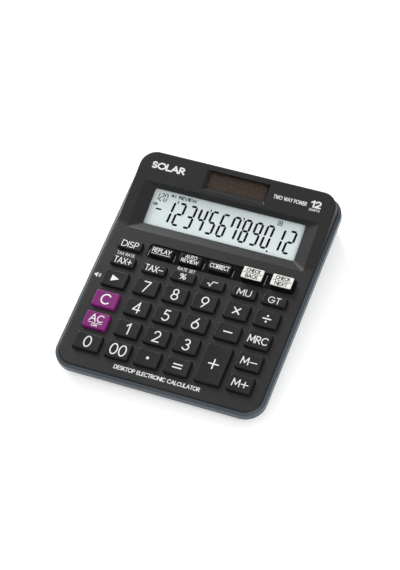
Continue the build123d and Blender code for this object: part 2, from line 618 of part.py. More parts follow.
def build_wires():
    """Pairs of wires from the board to the solar cell, the battery contacts and the buzzer."""
    wires = []
    for x in (-4, 4):
        start, end = board_point(x), solar_point(1.5 * x)
        wires.append(wire(start, board_point(x, 3.2), (1.1 * x, start.Y + 8, 5.8),
                          (1.4 * x, end.Y - 10, 8), solar_point(1.5 * x, 7), end))
    tab_z = block_top + 1.2
    side_x = cell_x - CELL_R - 0.2
    for x, end_x, end_y in ((18, cell_x, BATTERY[1] - 0.15), (12, side_x, BATTERY[1] - 1.8)):
        middle = ((x + end_x) / 2, board_point(x).Y + 7, 6.6)
        wires.append(wire(board_point(x), board_point(x, 3), middle,
                          (end_x, BATTERY[1] - 11, tab_z - 0.2), (end_x, end_y, tab_z)))
    disc_top = FLOOR_Z + FLOOR_T + 0.5 + DISC_T
    for x, end_x, end_y, end_z in ((-12, BUZZER[0] + 5, BUZZER[1], disc_top + DISC_T),
                                   (-19, BUZZER[0], BUZZER[1] - 8.5, disc_top)):
        middle = ((x + end_x) / 2, (board_point(x).Y + end_y) / 2, 6.0)
        wires.append(wire(board_point(x), board_point(x, 3), middle, (end_x, end_y, 7.4),
                          (end_x, end_y, end_z)))
    return Compound(wires)


NODES = {
    "top_cover": build_top_cover,
    "bottom_cover": build_bottom_cover,
    "key_band": build_key_band,
    "display_window": build_display_window,
    "lcd_panel": build_lcd_panel,
    "lcd_reflector": build_lcd_reflector,
    "lcd_holder": build_lcd_holder,
    "lcd_holder_screws": build_holder_screws,
    "lcd_flex_cable": build_lcd_flex,
    "solar_window": build_solar_window,
    "solar_cell": build_solar_cell,
    "key_mat": build_key_mat,
    "contact_pills": build_contact_pills,
    "circuit_board": build_circuit_board,
    "circuit_board_screws": build_pcb_screws,
    "chip_cap": build_chip,
    "board_components": build_components,
    "piezo_buzzer": build_buzzer,
    "button_cell": build_button_cell,
    "battery_contacts": build_battery_contacts,
    "internal_wires": build_wires,
    "battery_lid": build_battery_lid,
    "battery_lid_screw": build_battery_lid_screw,
    "case_screws": build_case_screws,
    "rubber_feet": build_feet,
}

os.makedirs("parts", exist_ok=True)
print(f"panel slope {slope:.2f} degrees, depth {total_depth:.2f} mm")
for node, build in NODES.items():
    export_step(build(), f"parts/{node}.step")
for name, *place in key_table():
    export_step(key_cap(*place), f"parts/{name}.step")
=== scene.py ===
# %% [markdown]
# # Looks of a twelve-digit desktop calculator
#
# The real object is a dark plastic wedge on a blue-grey tray. It has thirty-five push keys, a display
# sunk behind four sloping facets, and a small window over a solar cell. All of those shapes already exist
# as exact CAD solids, so this notebook keeps them, and adds what CAD left out: the finish of every
# plastic, the printed legends, the figures on the display, and soft studio light.

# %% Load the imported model
import json
import math

import bmesh
import bpy
from mathutils import Matrix, Vector
from mathutils.bvhtree import BVHTree
from mathutils.geometry import delaunay_2d_cdt

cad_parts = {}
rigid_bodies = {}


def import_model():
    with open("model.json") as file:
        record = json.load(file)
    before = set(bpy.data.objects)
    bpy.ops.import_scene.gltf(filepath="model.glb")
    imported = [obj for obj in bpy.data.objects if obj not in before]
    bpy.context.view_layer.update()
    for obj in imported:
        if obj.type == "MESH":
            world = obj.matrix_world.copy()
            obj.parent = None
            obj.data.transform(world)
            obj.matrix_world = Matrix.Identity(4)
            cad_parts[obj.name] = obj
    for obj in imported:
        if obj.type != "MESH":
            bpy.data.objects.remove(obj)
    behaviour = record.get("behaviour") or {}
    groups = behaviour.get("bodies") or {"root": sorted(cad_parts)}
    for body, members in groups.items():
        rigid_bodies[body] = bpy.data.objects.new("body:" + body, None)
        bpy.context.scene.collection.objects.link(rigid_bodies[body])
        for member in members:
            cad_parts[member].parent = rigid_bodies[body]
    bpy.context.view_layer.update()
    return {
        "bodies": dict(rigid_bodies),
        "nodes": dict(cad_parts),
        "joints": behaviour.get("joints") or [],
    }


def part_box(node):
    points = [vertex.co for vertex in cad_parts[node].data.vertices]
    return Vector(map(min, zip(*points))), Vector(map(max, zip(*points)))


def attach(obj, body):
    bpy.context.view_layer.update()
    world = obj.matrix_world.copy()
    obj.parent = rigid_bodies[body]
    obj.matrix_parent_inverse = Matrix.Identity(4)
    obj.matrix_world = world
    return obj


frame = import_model()
nodes = frame["nodes"]

# %% [markdown]
# Two helper frames make positions easy to read. The key panel slopes towards the user, and the display
# section is tilted once more behind it. A position such as "23 mm from the left, 8 mm up the panel" then
# needs no trigonometry: one matrix carries it to the object's frame. The slope isn't typed in, because
# every key travels square to the panel, so the joints already know it. Keys named "key_..." are bodies
# of their own, and everything else belongs to the case.

# %% Frames of the key panel and of the display section
MM = 0.001
RIM_LIFT = 8.3 * MM          # table to the rim at the front edge
BEND_Y = 98.4 * MM           # where the display section bends up
COVER_UP = 1.23 * MM         # key panel above the rim
DISPLAY_TILT = math.radians(9.9)

press = Vector(next(joint["axis"] for joint in frame["joints"]))
panel_slope = math.atan2(press.y, -press.z)
front_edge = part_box("bottom_cover")[0].y
PANEL = Matrix.Translation((0, front_edge, RIM_LIFT)) @ Matrix.Rotation(panel_slope, 4, "X")
DISPLAY = PANEL @ Matrix.Translation((0, BEND_Y, COVER_UP)) @ Matrix.Rotation(DISPLAY_TILT, 4, "X")
key_names = sorted(name for name in nodes if name in frame["bodies"])
print("panel slope:", round(math.degrees(panel_slope), 2), "degrees;", len(key_names), "keys")


def extent(name, space):
    """Lowest and highest corner of a CAD part, measured in another frame, in metres."""
    to_space = space.inverted()
    points = [to_space @ vertex.co for vertex in nodes[name].data.vertices]
    low = Vector(min(point[i] for point in points) for i in range(3))
    high = Vector(max(point[i] for point in points) for i in range(3))
    return low, high


# %% [markdown]
# ## Camera
#
# The view is a product shot: a long lens, from the front right and well above, rolled a little so that
# the case leans across the frame. An aim point near the middle of the case, a distance, two angles and
# a roll describe it completely.

# %% Camera
AIM = Vector((0.67, -1.84, 12.62)) * MM
DISTANCE = 1172.1 * MM
AZIMUTH = math.radians(30.016)
ELEVATION = math.radians(54.448)
ROLL = math.radians(-10.42)
LENS = 130.04

away = Vector((math.sin(AZIMUTH) * math.cos(ELEVATION), -math.cos(AZIMUTH) * math.cos(ELEVATION),
               math.sin(ELEVATION)))
camera_data = bpy.data.cameras.new("product_camera")
camera_data.lens = LENS
camera_data.sensor_width = 36.0
camera = bpy.data.objects.new("product_camera", camera_data)
bpy.context.scene.collection.objects.link(camera)
camera.location = AIM + DISTANCE * away
upright = (-away).to_track_quat("-Z", "Y").to_matrix()
camera.rotation_euler = (upright @ Matrix.Rotation(ROLL, 3, "Z")).to_euler()
bpy.context.scene.camera = camera
print("camera at", [round(value, 3) for value in camera.location])

# %% [markdown]
# ## Finishes
#
# Moulded plastic is never one flat colour. A spark-eroded mould leaves a fine grain, and the gloss drifts a
# little across each face. Edges are painted paler, a painted highlight where they would catch the light.
# These effects return in most materials here, so each is a small node group with named inputs, made once.
# A group gives out only masks and heights. The shader itself, and every number that is the same all over,
# stays in the material.

# %% Node group: fine grain left by the mould
def start_group(name, inputs, outputs):
    """An empty shader group with float sockets; inputs maps each name to its default."""
    group = bpy.data.node_groups.new(name, "ShaderNodeTree")
    for socket, default in inputs.items():
        made = group.interface.new_socket(socket, in_out="INPUT", socket_type="NodeSocketFloat")
        made.default_value = default
    for socket in outputs:
        group.interface.new_socket(socket, in_out="OUTPUT", socket_type="NodeSocketFloat")
    return group, group.nodes.new("NodeGroupInput"), group.nodes.new("NodeGroupOutput")


def math_node(tree, operation, first, second, clamp=False):
    """A Math node; each operand is a number or a socket."""
    node = tree.nodes.new("ShaderNodeMath")
    node.operation = operation
    node.use_clamp = clamp
    for socket, value in zip(node.inputs, (first, second)):
        if isinstance(value, (int, float)):
            socket.default_value = value
        else:
            tree.links.new(value, socket)
    return node.outputs[0]


def object_noise(tree, scale, detail):
    """Noise fixed to the part itself, so that it stays put when the part moves."""
    place = tree.nodes.new("ShaderNodeTexCoord")
    noise = tree.nodes.new("ShaderNodeTexNoise")
    noise.inputs["Detail"].default_value = detail
    tree.links.new(place.outputs["Object"], noise.inputs["Vector"])
    if isinstance(scale, (int, float)):
        noise.inputs["Scale"].default_value = scale
    else:
        tree.links.new(scale, noise.inputs["Scale"])
    return noise.outputs["Fac"]


mould_grain, entry, result = start_group(
    "mould_grain", {"Grains per metre": 3000.0, "Depth": 0.5}, ["Height"])
fine = object_noise(mould_grain, entry.outputs["Grains per metre"], 3.0)
height = math_node(mould_grain, "MULTIPLY", fine, entry.outputs["Depth"])
mould_grain.links.new(height, result.inputs["Height"])
print("group:", mould_grain.name)

# %% [markdown]
# The drift in gloss is slower than the grain: a few centimetres from one cloud to the next, where the
# plastic flowed and where fingers have been. One noise drives both the roughness and a small change in
# tone, because on the real thing they come from the same cause.

# %% Node group: slow drift in gloss and tone
gloss_drift, entry, result = start_group(
    "gloss_drift", {"Roughness": 0.4, "Spread": 0.1, "Clouds per metre": 45.0}, ["Roughness", "Tone"])
cloud = object_noise(gloss_drift, entry.outputs["Clouds per metre"], 5.0)
centred = math_node(gloss_drift, "SUBTRACT", cloud, 0.5)
spread = math_node(gloss_drift, "MULTIPLY", centred, entry.outputs["Spread"])
both_ways = math_node(gloss_drift, "MULTIPLY", spread, 2.0)
rough = math_node(gloss_drift, "ADD", entry.outputs["Roughness"], both_ways)
gloss_drift.links.new(rough, result.inputs["Roughness"])
gloss_drift.links.new(cloud, result.inputs["Tone"])
print("group:", gloss_drift.name)

# %% [markdown]
# Corners of a key or a rim are painted slightly paler than the flats: a painted highlight for the light
# their edges catch. A Bevel node gives the normal that a rounded edge would have, and where that differs
# from the true normal there is an edge. It works on any mesh, however coarse, which a mask painted from the
# vertices wouldn't.

# %% Node group: edges painted paler as a highlight
BEVEL_SAMPLES = 4
EDGE_GAIN = 6.0              # how soon a turn of the surface counts as an edge

# The edge mask from this group drives a painted highlight: the materials mix a paler tone in there.
painted_edge_highlight, entry, result = start_group(
    "painted_edge_highlight", {"Edge width": 0.0004, "Strength": 1.0}, ["Edge"])
rounded = painted_edge_highlight.nodes.new("ShaderNodeBevel")
rounded.samples = BEVEL_SAMPLES
painted_edge_highlight.links.new(entry.outputs["Edge width"], rounded.inputs["Radius"])
surface = painted_edge_highlight.nodes.new("ShaderNodeNewGeometry")
agree = painted_edge_highlight.nodes.new("ShaderNodeVectorMath")
agree.operation = "DOT_PRODUCT"
painted_edge_highlight.links.new(rounded.outputs["Normal"], agree.inputs[0])
painted_edge_highlight.links.new(surface.outputs["Normal"], agree.inputs[1])
turned = math_node(painted_edge_highlight, "SUBTRACT", 1.0, agree.outputs["Value"])
sharp = math_node(painted_edge_highlight, "MULTIPLY", turned, EDGE_GAIN)
edge_mask = math_node(painted_edge_highlight, "MULTIPLY", sharp, entry.outputs["Strength"], clamp=True)
painted_edge_highlight.links.new(edge_mask, result.inputs["Edge"])
print("group:", painted_edge_highlight.name)

# %% [markdown]
# Every plastic in the calculator is the same recipe with other amounts: a base tone, a second tone that the
# clouds mix in, a paler tone painted on the edges as a highlight, a roughness, a grain, and on the glossy
# pieces a clear coat. A table of finishes is easier to read and to tune than a dozen node trees.

# %% Recipe for a moulded plastic
def add_group(tree, group, **values):
    node = tree.nodes.new("ShaderNodeGroup")
    node.node_tree = group
    for socket, value in values.items():
        node.inputs[socket.replace("_", " ")].default_value = value
    return node


FIRST_COLOUR, SECOND_COLOUR, MIXED_COLOUR = 6, 7, 2     # a Mix node has a set of sockets per data type
GRAIN_HEIGHT = 0.02 * MM
COAT_ROUGHNESS = 0.06


def mix_colours(tree, factor, first, second):
    """A Mix node for two colours; each is a tuple or a socket."""
    node = tree.nodes.new("ShaderNodeMix")
    node.data_type = "RGBA"
    tree.links.new(factor, node.inputs["Factor"])
    for socket, colour in ((node.inputs[FIRST_COLOUR], first), (node.inputs[SECOND_COLOUR], second)):
        if isinstance(colour, tuple):
            socket.default_value = (*colour, 1.0)
        else:
            tree.links.new(colour, socket)
    return node.outputs[MIXED_COLOUR]


def moulded(name, tone, cloud_tone, painted_highlight_tone, roughness=0.45, spread=0.06, grains=3000.0, depth=0.5,
            coat=0.0, edge=0.5, specular=0.5):
    """Moulded plastic: two close tones, edges painted paler as a highlight, mould grain, and a clear coat
    if glossy.
    """
    material = bpy.data.materials.new(name)
    material.use_nodes = True
    tree = material.node_tree
    shader = tree.nodes["Principled BSDF"]
    drift = add_group(tree, gloss_drift, Roughness=roughness, Spread=spread)
    grain = add_group(tree, mould_grain, Grains_per_metre=grains, Depth=depth)
    edges = add_group(tree, painted_edge_highlight, Strength=edge)
    clouded = mix_colours(tree, drift.outputs["Tone"], tone, cloud_tone)
    # The edge tone mixed in here is a painted highlight on the edges of the part.
    coloured = mix_colours(tree, edges.outputs["Edge"], clouded, painted_highlight_tone)
    tree.links.new(coloured, shader.inputs["Base Color"])
    tree.links.new(drift.outputs["Roughness"], shader.inputs["Roughness"])
    bump = tree.nodes.new("ShaderNodeBump")
    bump.inputs["Distance"].default_value = GRAIN_HEIGHT
    tree.links.new(grain.outputs["Height"], bump.inputs["Height"])
    tree.links.new(bump.outputs["Normal"], shader.inputs["Normal"])
    shader.inputs["Specular IOR Level"].default_value = specular
    shader.inputs["Coat Weight"].default_value = coat
    shader.inputs["Coat Roughness"].default_value = COAT_ROUGHNESS
    return material


# In each finish below, the third tone is the painted highlight on its edges.
COVER = moulded("matt_cover", (0.0095, 0.0095, 0.01), (0.012, 0.012, 0.0125), (0.022, 0.022, 0.023),
                0.42, depth=0.8, specular=0.26)
TRAY = moulded("blue_grey_tray", (0.036, 0.048, 0.060), (0.042, 0.054, 0.066), (0.09, 0.11, 0.13),
               0.38, specular=0.4)
KEY_DARK = moulded("dark_key", (0.0065, 0.0065, 0.007), (0.0085, 0.0085, 0.009), (0.016, 0.016, 0.016),
                   0.36, depth=0.3, specular=0.22)
KEY_GLOSS = moulded("glossy_black_key", (0.005, 0.005, 0.005), (0.007, 0.007, 0.007),
                    (0.018, 0.018, 0.018), 0.3, depth=0.1, specular=0.2)
KEY_MAGENTA = moulded("magenta_key", (0.15, 0.008, 0.115), (0.165, 0.010, 0.128), (0.20, 0.02, 0.16),
                      0.34, depth=0.2, specular=0.28)
KEY_PALE = moulded("pale_key", (0.60, 0.60, 0.57), (0.64, 0.64, 0.61), (0.64, 0.64, 0.61),
                   0.36, depth=0.3)
BAND = moulded("glossy_band", (0.003, 0.003, 0.003), (0.004, 0.004, 0.004), (0.04, 0.04, 0.04),
               0.12, depth=0.02, specular=0.12)
RUBBER = moulded("foot_rubber", (0.022, 0.022, 0.022), (0.03, 0.03, 0.03), (0.04, 0.04, 0.04),
                 0.8, depth=1.0)
SILICONE = moulded("key_mat_rubber", (0.5, 0.5, 0.48), (0.56, 0.56, 0.54), (0.6, 0.6, 0.58), 0.6)
HOLDER = moulded("white_holder", (0.7, 0.7, 0.68), (0.74, 0.74, 0.72), (0.8, 0.8, 0.78), 0.4)
BOARD = moulded("solder_resist", (0.02, 0.13, 0.05), (0.03, 0.17, 0.07), (0.25, 0.3, 0.12),
                0.3, grains=900.0)
POTTING = moulded("potting", (0.012, 0.012, 0.012), (0.018, 0.018, 0.018), (0.02, 0.02, 0.02),
                  0.15, grains=400.0)
FILM = moulded("flex_film", (0.45, 0.28, 0.08), (0.5, 0.33, 0.1), (0.6, 0.4, 0.15), 0.25, depth=0.1)
SLEEVE = moulded("wire_sleeve", (0.4, 0.015, 0.015), (0.45, 0.02, 0.02), (0.5, 0.05, 0.05),
                 0.35, depth=0.2)
print("materials so far, the CAD's own included:", len(bpy.data.materials))

# %% [markdown]
# The metals inside and under the case are small screws, the button cell, its contacts and the buzzer. A
# plated surface keeps its colour in the reflection, so it is fully metallic, and a fine grain breaks the
# highlight up.

# %% Recipe for a plated metal
def plated(name, tone, cloud_tone, roughness):
    material = moulded(name, tone, cloud_tone, tone, roughness, spread=0.12, grains=6000.0, depth=0.3,
                       edge=0.2)
    material.node_tree.nodes["Principled BSDF"].inputs["Metallic"].default_value = 1.0
    return material


STEEL = plated("zinc_plated_steel", (0.55, 0.56, 0.57), (0.65, 0.65, 0.66), 0.3)
NICKEL = plated("nickel_strip", (0.62, 0.6, 0.55), (0.7, 0.68, 0.62), 0.25)
BRASS = plated("buzzer_brass", (0.78, 0.57, 0.24), (0.85, 0.64, 0.3), 0.3)
print("metals:", STEEL.name, NICKEL.name, BRASS.name)

# %% [markdown]
# The display is a sandwich of glass with a grey-green polarising film, so what shows is the film: pale,
# even, and a little shiny. The solar cell is amorphous silicon, brown with a faint purple drift. Both lie
# behind clear covers. A real refracting cover would throw them into shadow in a path tracer, because soft
# light can't be aimed through glass, so a cover is a very thin veil instead.

# %% Display film, solar cell and clear covers
DISPLAY_FILM = moulded("display_film", (0.73, 0.82, 0.825), (0.77, 0.86, 0.86), (0.75, 0.84, 0.84),
                       0.3, depth=0.05, edge=0.0)
SOLAR = moulded("solar_cell_brown", (0.048, 0.032, 0.021), (0.054, 0.034, 0.024), (0.05, 0.032, 0.02),
                0.25, depth=0.05, edge=0.0, specular=0.3)
REFLECTOR = moulded("reflector_foil", (0.75, 0.8, 0.8), (0.8, 0.84, 0.84), (0.8, 0.8, 0.8), 0.35)
CLEAR = moulded("clear_cover", (0.01, 0.01, 0.01), (0.015, 0.015, 0.015), (0.01, 0.01, 0.01),
                0.05, spread=0.02, depth=0.0, edge=0.0)
CLEAR.node_tree.nodes["Principled BSDF"].inputs["Alpha"].default_value = 0.06

FINISH_OF = {
    "top_cover": COVER, "bottom_cover": TRAY, "key_band": BAND,
    "display_window": CLEAR, "solar_window": CLEAR,
    "lcd_panel": DISPLAY_FILM, "lcd_reflector": REFLECTOR, "lcd_holder": HOLDER, "lcd_holder_screws": STEEL,
    "lcd_flex_cable": FILM, "solar_cell": SOLAR, "key_mat": SILICONE, "contact_pills": RUBBER,
    "circuit_board": BOARD, "circuit_board_screws": STEEL, "chip_cap": POTTING, "board_components": POTTING,
    "piezo_buzzer": BRASS, "button_cell": STEEL, "battery_contacts": NICKEL, "internal_wires": SLEEVE,
    "battery_lid": TRAY, "battery_lid_screw": STEEL, "case_screws": STEEL, "rubber_feet": RUBBER,
    "key_all_clear": KEY_MAGENTA, "key_clear": KEY_MAGENTA,
    "key_check_back": KEY_GLOSS, "key_check_next": KEY_GLOSS,
    "key_replay": KEY_GLOSS, "key_auto": KEY_GLOSS, "key_correct": KEY_GLOSS,
}
for name, part in nodes.items():
    part.data.materials.clear()
    part.data.materials.append(FINISH_OF.get(name, KEY_DARK))
print("finishes on", len(nodes), "parts")

# %% [markdown]
# ## Lettering
#
# The legends are thin, even strokes with round bowls, printed flat on the keys. A font would bring its own
# serifs and weights, so each character is drawn here as the path of a pen: straight runs and arcs in a
# box one unit high. The same strokes then serve a thin legend and a bold one, by changing the pen.

# %% Characters as pen strokes
ARC_STEP = 12                # degrees between the points of an arc


def arc(x, y, rx, ry, start, end):
    steps = max(2, round(abs(end - start) / ARC_STEP))
    angles = [math.radians(start + (end - start) * i / steps) for i in range(steps + 1)]
    return [(x + rx * math.cos(angle), y + ry * math.sin(angle)) for angle in angles]


CHARACTERS = {
    " ": (0.30, []),
    "0": (0.60, [arc(0.30, 0.50, 0.30, 0.50, 90, 450)]),
    "1": (0.27, [[(0.0, 0.76), (0.27, 1.0), (0.27, 0.0)]]),
    "2": (0.58, [arc(0.28, 0.71, 0.26, 0.29, 170, -32) + [(0.02, 0.0), (0.58, 0.0)]]),
    "3": (0.56, [arc(0.27, 0.755, 0.23, 0.245, 150, -90), arc(0.27, 0.26, 0.28, 0.26, 90, -155)]),
    "4": (0.62, [[(0.46, 0.0), (0.46, 1.0), (0.0, 0.27), (0.62, 0.27)]]),
    "5": (0.56, [[(0.50, 1.0), (0.14, 1.0), (0.08, 0.60)] + arc(0.26, 0.32, 0.29, 0.32, 118, -145)]),
    "6": (0.60, [[(0.44, 1.0), (0.06, 0.44)], arc(0.30, 0.31, 0.29, 0.31, 90, 450)]),
    "7": (0.56, [[(0.0, 1.0), (0.56, 1.0), (0.14, 0.0)]]),
    "8": (0.56, [arc(0.28, 0.755, 0.22, 0.245, 90, 450), arc(0.28, 0.26, 0.28, 0.26, 90, 450)]),
    "9": (0.60, [arc(0.30, 0.69, 0.29, 0.31, 90, 450), [(0.54, 0.56), (0.16, 0.0)]]),
    "A": (0.84, [[(0.0, 0.0), (0.42, 1.0), (0.84, 0.0)], [(0.14, 0.33), (0.70, 0.33)]]),
    "B": (0.58, [[(0.0, 0.52), (0.32, 0.52)] + arc(0.32, 0.26, 0.26, 0.26, 90, -90)
                 + [(0.0, 0.0), (0.0, 1.0), (0.28, 1.0)] + arc(0.28, 0.76, 0.24, 0.24, 90, -90)]),
    "C": (0.80, [arc(0.46, 0.50, 0.46, 0.50, 48, 312)]),
    "D": (0.74, [[(0.0, 0.0), (0.0, 1.0), (0.28, 1.0)]
                 + arc(0.28, 0.50, 0.46, 0.50, 90, -90) + [(0.0, 0.0)]]),
    "E": (0.52, [[(0.52, 1.0), (0.0, 1.0), (0.0, 0.0), (0.52, 0.0)], [(0.0, 0.52), (0.46, 0.52)]]),
    "F": (0.50, [[(0.50, 1.0), (0.0, 1.0), (0.0, 0.0)], [(0.0, 0.52), (0.44, 0.52)]]),
    "G": (0.90, [arc(0.46, 0.50, 0.46, 0.50, 45, 355) + [(0.50, 0.46)]]),
    "H": (0.70, [[(0.0, 0.0), (0.0, 1.0)], [(0.70, 0.0), (0.70, 1.0)], [(0.0, 0.52), (0.70, 0.52)]]),
    "I": (0.0, [[(0.0, 0.0), (0.0, 1.0)]]),
    "K": (0.62, [[(0.0, 0.0), (0.0, 1.0)], [(0.56, 1.0), (0.02, 0.48)], [(0.14, 0.60), (0.62, 0.0)]]),
    "L": (0.48, [[(0.0, 1.0), (0.0, 0.0), (0.48, 0.0)]]),
    "M": (0.88, [[(0.0, 0.0), (0.08, 1.0), (0.44, 0.20), (0.80, 1.0), (0.88, 0.0)]]),
    "N": (0.72, [[(0.0, 0.0), (0.0, 1.0), (0.72, 0.0), (0.72, 1.0)]]),
    "O": (0.96, [arc(0.48, 0.50, 0.48, 0.50, 90, 450)]),
    "P": (0.54, [[(0.0, 0.0), (0.0, 1.0), (0.27, 1.0)]
                 + arc(0.27, 0.73, 0.27, 0.27, 90, -90) + [(0.0, 0.46)]]),
    "R": (0.60, [[(0.0, 0.0), (0.0, 1.0), (0.28, 1.0)]
                 + arc(0.28, 0.74, 0.26, 0.26, 90, -90) + [(0.0, 0.48)],
                 [(0.22, 0.48), (0.60, 0.0)]]),
    "S": (0.52, [arc(0.26, 0.75, 0.23, 0.25, 35, 270) + arc(0.26, 0.25, 0.26, 0.25, 80, -145)]),
    "T": (0.58, [[(0.0, 1.0), (0.58, 1.0)], [(0.29, 1.0), (0.29, 0.0)]]),
    "U": (0.66, [[(0.0, 1.0)] + arc(0.33, 0.33, 0.33, 0.33, 180, 360) + [(0.66, 1.0)]]),
    "V": (0.80, [[(0.0, 1.0), (0.40, 0.0), (0.80, 1.0)]]),
    "W": (1.16, [[(0.0, 1.0), (0.29, 0.0), (0.58, 0.95), (0.87, 0.0), (1.16, 1.0)]]),
    "X": (0.68, [[(0.0, 1.0), (0.68, 0.0)], [(0.0, 0.0), (0.68, 1.0)]]),
    "Y": (0.72, [[(0.0, 1.0), (0.36, 0.46), (0.72, 1.0)], [(0.36, 0.46), (0.36, 0.0)]]),
    "+": (0.80, [[(0.0, 0.45), (0.80, 0.45)], [(0.40, 0.05), (0.40, 0.85)]]),
    "-": (0.80, [[(0.0, 0.45), (0.80, 0.45)]]),
    "%": (0.80, [[(0.12, 0.0), (0.68, 1.0)], arc(0.17, 0.76, 0.17, 0.22, 90, 450),
                 arc(0.63, 0.24, 0.17, 0.22, 90, 450)]),
}
CHARACTER_GAP = 0.20         # between two characters, as part of their height
print("characters drawn:", len(CHARACTERS))

# %% [markdown]
# A pen path becomes a ribbon: at every point the two edges stand half a pen width to each side, along the
# bisector of the turn. Long straight runs are cut into short ones first, so that the ribbon can follow a
# hollow key top. All sizes are in millimetres until the ink is laid on the part.

# %% Ribbons from pen paths
LONGEST_RUN = 1.2            # mm, so that ink follows a curved face
SHARP_TURN = math.radians(32)


def split_at_corners(points):
    """The smooth stretches of a pen path, cut wherever it turns sharply. Doubled points are dropped."""
    points = points[:1] + [b for a, b in zip(points, points[1:]) if math.dist(a, b) > 1e-6]
    stretches = [[points[0]]]
    for i in range(1, len(points) - 1):
        stretches[-1].append(points[i])
        came, goes = Vector(points[i]) - Vector(points[i - 1]), Vector(points[i + 1]) - Vector(points[i])
        if came.angle(goes) > SHARP_TURN:
            stretches.append([points[i]])
    stretches[-1].append(points[-1])
    return stretches


def subdivided(points):
    """The same path with no run longer than LONGEST_RUN."""
    path = [points[0]]
    for (x0, y0), (x1, y1) in zip(points, points[1:]):
        steps = max(1, math.ceil(math.hypot(x1 - x0, y1 - y0) / LONGEST_RUN))
        path += [(x0 + (x1 - x0) * i / steps, y0 + (y1 - y0) * i / steps) for i in range(1, steps + 1)]
    return path


def smooth_ribbon(points, pen, reach_on):
    """Four-sided pieces along a smooth path, wound anticlockwise; open ends reach on a little."""
    closed = math.dist(points[0], points[-1]) < 1e-6
    path = [Vector(point) for point in subdivided(points)]
    headings = [(b - a).normalized() for a, b in zip(path, path[1:])]
    before = [headings[-1] if closed else headings[0]] + headings
    after = headings + [headings[0] if closed else headings[-1]]
    if not closed:
        path[0] = path[0] - headings[0] * reach_on
        path[-1] = path[-1] + headings[-1] * reach_on
    edges = []
    for centre, came, goes in zip(path, before, after):
        bisector = (came + goes).normalized()
        side = Vector((-bisector.y, bisector.x)) * pen / 2
        edges.append((centre + side, centre - side))
    return [[a[1], b[1], b[0], a[0]] for a, b in zip(edges, edges[1:])]


def ribbon(points, pen):
    """A pen stroke. Sharp corners come out square, because both of their runs reach past them."""
    stretches = split_at_corners(points)
    return [piece for stretch in stretches for piece in smooth_ribbon(stretch, pen, pen / 2)]


def disc(x, y, radius):
    return [[Vector(point) for point in arc(x, y, radius, radius, 0, 360)[:-1]]]


def shifted(shapes, x, y):
    return [[corner + Vector((x, y)) for corner in shape] for shape in shapes]


def word(text, x, y, height, pen, width=None):
    """One line of lettering, centred on (x, y); width squeezes or stretches it to fit."""
    scale = height - pen
    widths = [CHARACTERS[letter][0] for letter in text]
    natural = (sum(widths) + CHARACTER_GAP * (len(text) - 1)) * scale + pen
    stretch = (width - pen) / (natural - pen) if width else 1.0
    shapes = []
    left = x - (natural - pen) * stretch / 2
    for letter, letter_width in zip(text, widths):
        for stroke in CHARACTERS[letter][1]:
            points = [(left + px * scale * stretch, y - scale / 2 + py * scale) for px, py in stroke]
            shapes += ribbon(points, pen)
        left += (letter_width + CHARACTER_GAP) * scale * stretch
    return shapes


def line(x0, y0, x1, y1, pen):
    return smooth_ribbon([(x0, y0), (x1, y1)], pen, 0.0)


print("ribbon pieces in one 8:", len(word("8", 0, 0, 7.2, 0.85)))

# %% [markdown]
# Strokes cross and overlap, as in a 4. Laid down one by one they would flicker where they share a plane,
# and leave hidden faces in the mesh. A constrained triangulation merges them: it keeps every triangle
# that any stroke covers, once. Each corner of the merged shape is then dropped on the part along the
# frame's own up direction, and the ink gets a little body, so that it is a closed solid that hugs the
# surface and not a sheet that floats over it.

# %% Lay ink on a part
INK_UP = 0.035 * MM          # top of the ink above the surface
INK_DOWN = 0.03 * MM         # how far the ink is sunk into it
FACE_UP = 0.12 * MM          # a pale face glued on a dark key
RAY_START = 30 * MM


def merged(shapes):
    """Outlines that may overlap, as one set of triangles: corners and faces."""
    corners = [corner for shape in shapes for corner in shape]
    faces, start = [], 0
    for shape in shapes:
        faces.append(list(range(start, start + len(shape))))
        start += len(shape)
    points, _, triangles, _, _, sources = delaunay_2d_cdt(corners, [], faces, 0, 1e-4)
    return points, [triangle for triangle, source in zip(triangles, sources) if source]


def surface_of(name):
    mesh = nodes[name].data
    return BVHTree.FromPolygons([v.co for v in mesh.vertices], [list(p.vertices) for p in mesh.polygons])


def lay_ink(name, shapes, space, node, material, up=INK_UP, down=INK_DOWN):
    """Print shapes, in the millimetres of a frame, on a CAD part; the ink rides with that part."""
    points, triangles = merged(shapes)
    tree = surface_of(node)
    above = (space.to_3x3() @ Vector((0, 0, 1))).normalized()
    top = []
    for point in points:
        start = space @ Vector((point.x * MM, point.y * MM, RAY_START))
        hit = tree.ray_cast(start, -above)[0]
        if hit is None:
            raise ValueError(f"{name} reaches past {node}")
        top.append(hit)
    mesh = bmesh.new()
    upper = [mesh.verts.new(point + above * up) for point in top]
    lower = [mesh.verts.new(point - above * down) for point in top]
    border = set()
    for triangle in triangles:
        mesh.faces.new([upper[i] for i in triangle])
        mesh.faces.new([lower[i] for i in reversed(triangle)])
        for i, j in zip(triangle, triangle[1:] + triangle[:1]):
            if (j, i) in border:
                border.remove((j, i))
            else:
                border.add((i, j))
    for i, j in sorted(border):
        mesh.faces.new([upper[j], upper[i], lower[i], lower[j]])
    loose = [vertex for vertex in mesh.verts if not vertex.link_faces]
    bmesh.ops.delete(mesh, geom=loose, context="VERTS")
    bmesh.ops.recalc_face_normals(mesh, faces=mesh.faces)
    data = bpy.data.meshes.new(name)
    mesh.to_mesh(data)
    mesh.free()
    piece = bpy.data.objects.new(name, data)
    bpy.context.scene.collection.objects.link(piece)
    data.materials.append(material)
    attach(piece, node if node in frame["bodies"] else "case")
    return piece


